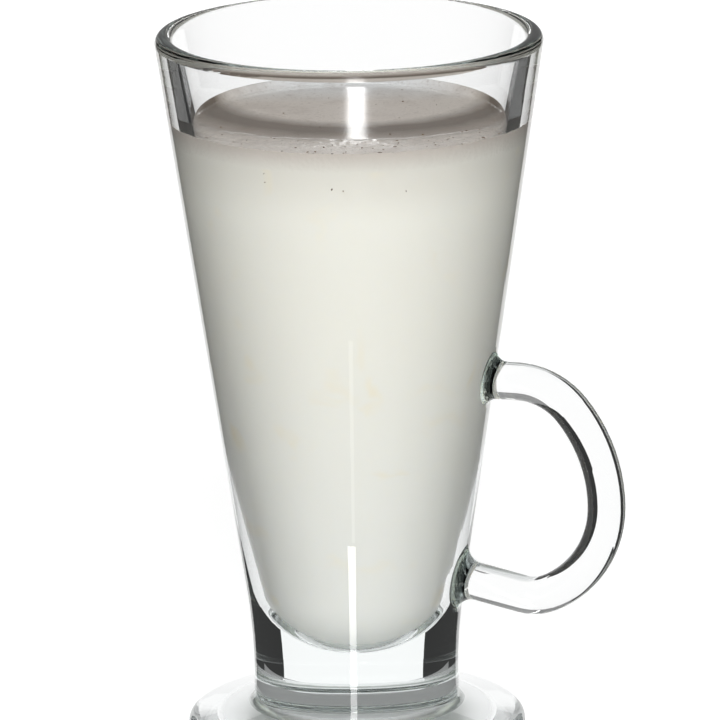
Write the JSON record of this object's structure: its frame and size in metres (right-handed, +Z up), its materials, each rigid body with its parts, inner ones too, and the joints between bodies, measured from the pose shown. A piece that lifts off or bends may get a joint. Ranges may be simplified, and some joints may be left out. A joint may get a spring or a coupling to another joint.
{
  "type": "glass mug of eggnog",
  "caption": "Tall footed clear glass mug with a round side handle, holding creamy eggnog with spiced froth on top.",
  "frame": {"origin": "middle of the foot's underside, in the plane that the mug stands on, on the axis of the bowl", "axes": "+Z up along the bowl's axis, +X from the bowl towards the handle"},
  "size_m": [0.0983, 0.0799, 0.1494],
  "materials": {
    "clear_glass": "clear, fire polished",
    "eggnog_cream": "opaque creamy liquid",
    "spiced_froth": "fine matt froth dusted with ground spice"
  },
  "bodies": {
    "root": {"glass_mug": "clear_glass", "eggnog": "eggnog_cream", "spiced_froth": "spiced_froth"}
  },
  "joints": []
}
